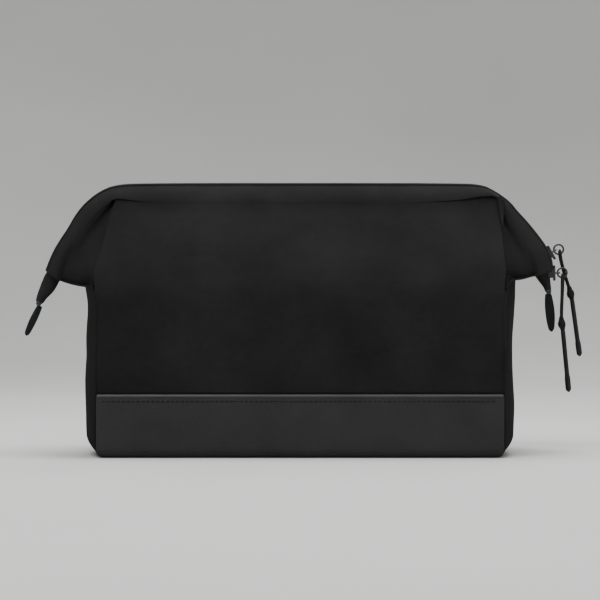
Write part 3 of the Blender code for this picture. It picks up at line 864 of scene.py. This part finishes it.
def make_zip_ends():
    """The folded cloth at each end of the zip, and the metal crimp on it."""
    for word, (line, halves) in ZIP_ENDS.items():
        for front in (-1, 1):

            def place(u, v):
                x, z = pick(line, v)
                x0, z0 = pick(line, max(0.0, v - 0.05))
                x1, z1 = pick(line, min(1.0, v + 0.05))
                along = Vector((x1 - x0, 0, z1 - z0)).normalized()
                across = Vector((-along.z, 0, along.x))
                k = v * (len(halves) - 1)
                i = min(int(k), len(halves) - 2)
                half = halves[i] + (halves[i + 1] - halves[i]) * (k - i)
                y = front * (0.0006 + (0.0042 - 0.0030 * v) * sin(pi * (0.12 + 0.76 * u)))
                fold = crumple((x * 3, front, z * 3), 6.0, 60, 0.0006)
                return Vector((x, y + fold * sin(pi * u), z)) + across * (half * (2 * u - 1))

            facing = "front" if front < 0 else "back"
            cloth = surface(f"{word}_{facing}_zip_end_cloth", place, 14, 26, 0.0008, "strip", (0.01, 0.022))
            attach(cloth, "hinge_ends", (f"{word}_zip_end",) if front < 0 else ())
        low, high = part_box(f"{word}_end_stop")
        middle = (Vector(low) + Vector(high)) / 2
        stop = tube_mesh(f"{word}_crimp", [middle + Vector((0, y, 0)) for y in CRIMP_STATIONS],
                         lambda t: 0.0016 if 0.1 < t < 0.9 else 0.0011, "steel", 16)
        attach(stop, "hinge_ends", (f"{word}_end_stop",))


# Each tab's joint, its lean from upright, its length and half its greatest width.
TABS = {"left": ("left_tab_flex", -0.47, 0.0206, 0.0022), "right": ("right_tab_swing", 0.09, 0.0240, 0.0029)}
TAB_NECK = 0.0012


def make_tabs():
    """Leather end tabs, folded double and stitched, tapered to a round point."""
    for word, (joint, lean, length, widest) in TABS.items():
        along = Vector((lean, 0, -1)).normalized()
        start = Vector(JOINTS[joint]["pos_m"]) - along * 0.0015
        across = Vector((-along.z, 0, along.x))

        def place(u, v):
            half = TAB_NECK + (widest - TAB_NECK) * sin(pi * min(1.0, 0.08 + v * 0.92)) ** 0.7
            if v > 0.9:
                half *= max(0.35, (1 - ((v - 0.9) / 0.1) ** 2) ** 0.5)
            point = start + along * (length * v) + across * (half * (2 * u - 1))
            point.y += 0.0004 * sin(3 * pi * v)
            return point

        tab = surface(f"{word}_leather_tab", place, 12, 40, 0.0023, "tab", (0.006, 0.02))
        attach(tab, f"{word}_tab", (f"{word}_end_tab",))
        for face, facing in ((-1, "front"), (1, "back")):
            row = [start + along * (length * t) + Vector((0, face * 0.00125, 0)) for t in (0.18, 0.5, 0.82)]
            seam = stitches(f"{word}_tab_stitching_{facing}", row, (0, face, 0), pitch=0.0022, length=0.0015,
                            radius=0.00018)
            attach(seam, f"{word}_tab")


def rounded_box(name, centre, axes, sizes, material, bevel, taper=0.0):
    """A bevelled block along three given axes, narrower by taper at its far end along the first one."""
    a, b, c = (Vector(axis) for axis in axes)
    points = []
    for i in (-1, 1):
        shrink = 1 - taper * (1 + i) / 2
        for j in (-1, 1):
            for k in (-1, 1):
                points.append(Vector(centre) + a * (i * sizes[0] / 2) + b * (j * sizes[1] / 2 * shrink)
                              + c * (k * sizes[2] / 2))
    faces = [(0, 1, 3, 2), (4, 5, 7, 6), (0, 1, 5, 4), (2, 3, 7, 6), (0, 2, 6, 4), (1, 3, 7, 5)]
    block = finish_mesh(name, points, faces, material)
    edges = block.modifiers.new("Bevel", "BEVEL")
    edges.width = bevel
    edges.segments = 3
    edges.limit_method = "NONE"
    return block


SLIDER_TILTS = {"upper": radians(30), "lower": radians(2)}
EYE_OUT = 0.00295                       # from a slider's middle out to the eye that holds its ring
TOP_PLATE, UNDER_PLATE, WALL = (0.0098, 0.0072, 0.0014), (0.0060, 0.0062, 0.0009), (0.0060, 0.0007, 0.0040)
PLATE_TAPER = 0.28
RING_WIRE, BAIL_WIRE = 0.0006, 0.00055
RING_STEPS = 40
# The bail's points as distance out from the slider's middle and across it.
BAIL = ((0.0012, -0.0019), (0.0028, -0.0019), (0.0040, -0.0014), (0.0044, 0.0), (0.0040, 0.0014),
        (0.0028, 0.0019), (0.0012, 0.0019))


def make_sliders():
    """Two plates, two walls and a bail for each slider, and the ring that hangs in the bail."""
    for word, tilt in SLIDER_TILTS.items():
        body = f"{word}_slider"
        eye = Vector(JOINTS[f"{word}_ring_swing"]["pos_m"])
        along, out = Vector((sin(tilt), 0, -cos(tilt))), Vector((cos(tilt), 0, sin(tilt)))
        wide = Vector((0, 1, 0))
        axes = (along, wide, out)
        base = eye - out * EYE_OUT
        top = rounded_box(f"{word}_slider_top", base + out * 0.0009, axes, TOP_PLATE, "steel", 0.0005,
                          PLATE_TAPER)
        attach(top, body, (body,))
        under = rounded_box(f"{word}_slider_under", base - out * 0.0034, axes, UNDER_PLATE, "steel", 0.0004,
                            PLATE_TAPER)
        attach(under, body)
        for side, facing in ((-1, "front"), (1, "back")):
            centre = base - out * 0.0012 + wide * (side * 0.0030)
            wall = rounded_box(f"{word}_slider_{facing}_wall", centre, axes, WALL, "steel", 0.0002)
            attach(wall, body)
        bail = smooth([base + out * o + wide * w for o, w in BAIL], 0.0004)
        attach(tube_mesh(f"{word}_slider_bail", bail, BAIL_WIRE, "steel", 8), body)
        low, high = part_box(f"{word}_ring")
        middle = (Vector(low) + Vector(high)) / 2
        radius = (high[0] - low[0]) / 2 - RING_WIRE
        turns = [tau * k / RING_STEPS for k in range(RING_STEPS)]
        loop = [middle + Vector((radius * cos(turn), 0, radius * sin(turn))) for turn in turns]
        ring = tube_mesh(f"{word}_split_ring", loop, RING_WIRE, "steel", 10, closed=True)
        attach(ring, f"{word}_ring", (f"{word}_ring",))


# Route of each doubled cord from the knot over the ring and back, the same points as in the CAD.
LOOPS = {
    "upper": [(0.1706, 0.0040, 0.1035), (0.1692, 0.0046, 0.1080), (0.1676, 0.0046, 0.1130),
              (0.1665, 0.0036, 0.1168), (0.1656, 0.0018, 0.1196), (0.1648, -0.0006, 0.1222),
              (0.1643, -0.0019, 0.1247), (0.1641, -0.0012, 0.1265), (0.1641, 0.0, 0.1271),
              (0.1641, 0.0012, 0.1265), (0.1643, 0.0020, 0.1247), (0.1648, 0.0032, 0.1222),
              (0.1656, 0.0050, 0.1196), (0.1665, 0.0064, 0.1168), (0.1676, 0.0069, 0.1130),
              (0.1692, 0.0068, 0.1080), (0.1706, 0.0062, 0.1035)],
    "lower": [(0.1647, -0.0053, 0.0845), (0.1649, -0.0054, 0.0930), (0.1653, -0.0052, 0.1010),
              (0.1657, -0.0036, 0.1060), (0.1659, -0.0020, 0.1093), (0.1660, -0.0012, 0.1114),
              (0.1660, 0.0, 0.1121), (0.1660, 0.0012, 0.1114), (0.1659, 0.0019, 0.1093),
              (0.1657, 0.0010, 0.1062), (0.1654, -0.0016, 0.1020), (0.1651, -0.0030, 0.0970),
              (0.1648, -0.0032, 0.0900), (0.1647, -0.0031, 0.0845)],
}
CORD = 0.0020                           # diameter
WRAP_TURNS, WRAP_STEPS = 4, 96
KNOT_HEIGHT, KNOT_STRAND = 0.0046, 0.00085
SLEEVE_RADIUS, SLEEVE_STEPS = 0.0017, 40


def make_pulls():
    """The two cord pulls, each with its knot, a short core under the knot, and its sleeve."""
    for word, route in LOOPS.items():
        body = f"{word}_pull"
        line = smooth(route, 0.0012)
        curve = bpy.data.curves.new(f"{word}_cord_loop", "CURVE")
        curve.dimensions = "3D"
        curve.bevel_depth = CORD / 2
        curve.bevel_resolution = 3
        curve.use_fill_caps = True
        spline = curve.splines.new("POLY")
        spline.points.add(len(line) - 1)
        for point, where in zip(spline.points, line):
            point.co = (*where, 1)
        curve.materials.append(MATERIALS["cord"])
        loop = bpy.data.objects.new(f"{word}_cord_loop", curve)
        bpy.context.collection.objects.link(loop)
        attach(loop, body, (f"{word}_pull_cord",))

        low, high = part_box(f"{word}_pull_knot")
        middle = (Vector(low) + Vector(high)) / 2
        s_low, s_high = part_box(f"{word}_pull_sleeve")
        back = (s_low[1] + s_high[1]) / 2
        tip = Vector((s_high[0] - SLEEVE_RADIUS, back, s_low[2] + 0.0004))
        neck = Vector((s_low[0] + SLEEVE_RADIUS, back, s_high[2]))
        down = (tip - neck).normalized()
        first = down.orthogonal().normalized()
        second = down.cross(first)
        cord_end = (line[0] + line[-1]) / 2
        core_line = smooth([cord_end - down * 0.0010, middle, neck + down * 0.0012], 0.0008)
        core = tube_mesh(f"{word}_cord_core", core_line, lambda t: 0.0013 + 0.0006 * sin(pi * t), "cord", 14)
        attach(core, body)
        wraps = []
        for k in range(WRAP_STEPS + 1):
            t = k / WRAP_STEPS
            swell = 0.0011 + 0.0006 * sin(pi * t)
            angle = tau * WRAP_TURNS * t
            outward = cos(angle) * first + sin(angle) * second
            wraps.append(middle + down * (KNOT_HEIGHT * (t - 0.5)) + swell * outward)
        knot = tube_mesh(f"{word}_knot", wraps, KNOT_STRAND, "cord", 10)
        attach(knot, body, (f"{word}_pull_knot",))

        sleeve_line = [neck + (tip - neck) * (k / SLEEVE_STEPS) for k in range(SLEEVE_STEPS + 1)]
        length = (tip - neck).length

        def girth(t):
            along = t * length
            widest = 0.00145 + 0.00035 * min(1.0, max(0.0, (t - 0.72) / 0.06))
            close = min(1.0, along / 0.0014, (length - along) / 0.0020 + 0.05)
            return max(0.0004, widest * max(0.0, close) ** 0.5)

        sleeve = tube_mesh(f"{word}_sleeve", sleeve_line, girth, "sleeve", 20)
        attach(sleeve, body, (f"{word}_pull_sleeve",))


KEPT_NODES = {"front_wire_frame": "coil", "back_wire_frame": "coil", "left_hinge_pin": "steel",
              "right_hinge_pin": "steel", "base_board": "board"}


def repaint_frame_nodes():
    """Materials of the CAD pieces that stay: plastic-coated wire frames, steel pins and the base board."""
    for name, material in KEPT_NODES.items():
        for place in frame["nodes"][name].material_slots:
            place.material = MATERIALS[material]


make_camera()
make_stage()
make_lights()
make_pulls()
make_panels()
make_gussets()
make_wings()
make_shelves()
make_base()
make_lining_floor()
make_mouth()
make_zip_ends()
make_tabs()
make_sliders()
repaint_frame_nodes()
